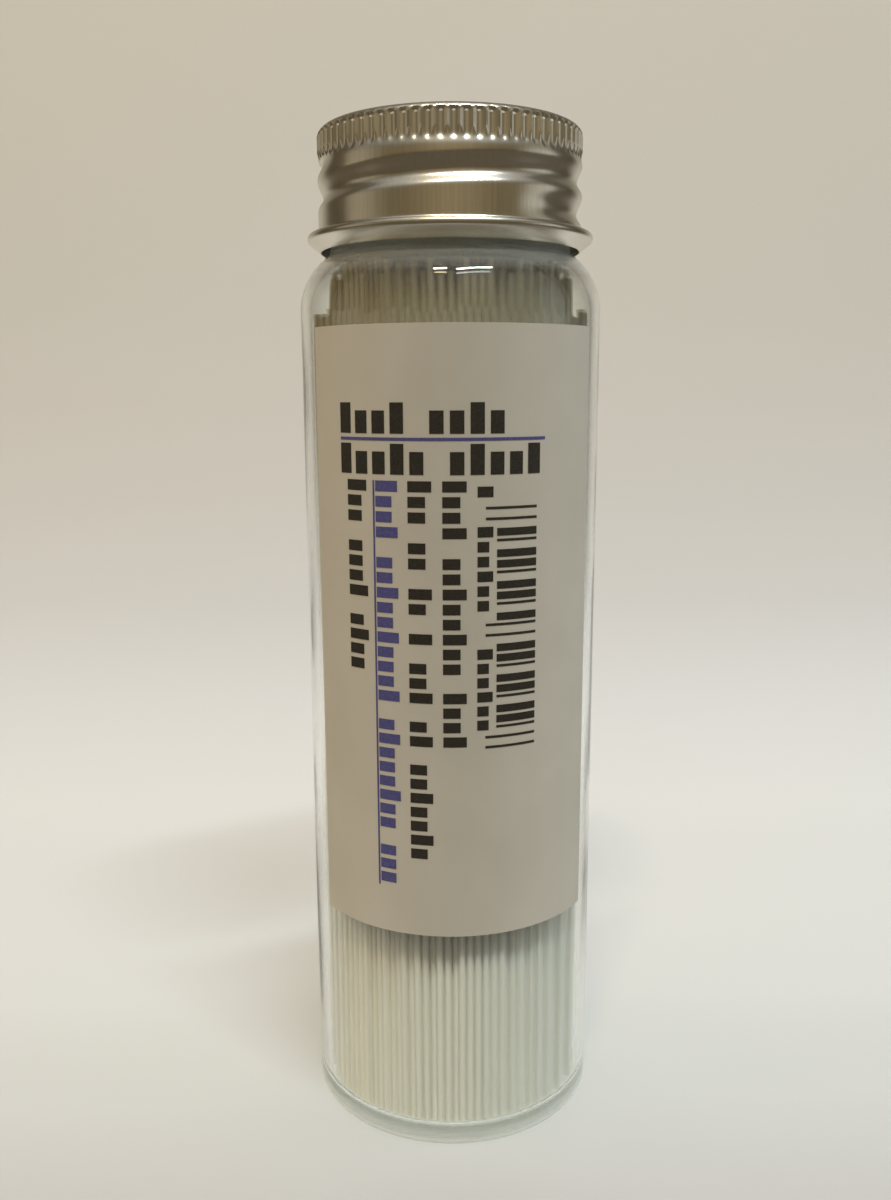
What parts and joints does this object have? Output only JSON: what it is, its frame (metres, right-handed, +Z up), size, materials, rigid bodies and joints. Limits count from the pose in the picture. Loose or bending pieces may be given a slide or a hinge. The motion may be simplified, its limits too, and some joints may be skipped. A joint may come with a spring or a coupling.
{
  "type": "glass screw-cap vial of capillary tubes",
  "caption": "Clear glass vial with a knurled aluminium screw cap and a paper label, packed full of slender glass capillary tubes.",
  "frame": {"origin": "middle of the vial's foot, on the surface that it stands on", "axes": "+Z runs up the vial's axis to the cap, and the label faces -Y"},
  "size_m": [0.037, 0.0372, 0.1241],
  "materials": {
    "vial_glass": "clear, polished",
    "tube_glass": "clear, drawn",
    "label_paper": "uncoated, matt",
    "dark_ink": "printed toner",
    "blue_ink": "printed toner",
    "liner_plastic": "smooth white",
    "cap_metal": "rolled sheet, satin with fine upright scratches"
  },
  "bodies": {
    "vial": {"vial": "vial_glass", "inner_tubes": "tube_glass", "outer_tubes": "tube_glass", "label": "label_paper", "label_print_dark": "dark_ink", "label_print_blue": "blue_ink"},
    "liner": {"cap_liner": "liner_plastic"},
    "cap": {"cap_shell": "cap_metal"}
  },
  "joints": [
    {"name": "cap_lift", "type": "slide", "parent": "vial", "child": "liner", "axis": [0, 0, 1], "range_m": [0, 0.00482]},
    {"name": "cap_turn", "type": "hinge", "parent": "liner", "child": "cap", "pos_m": [0, 0, 0.115], "axis": [0, 0, 1], "range_deg": [0, 468]}
  ],
  "couplings": [
    {"joint": "cap_lift", "follows": "cap_turn", "m_per_rad": 0.00058887}
  ]
}
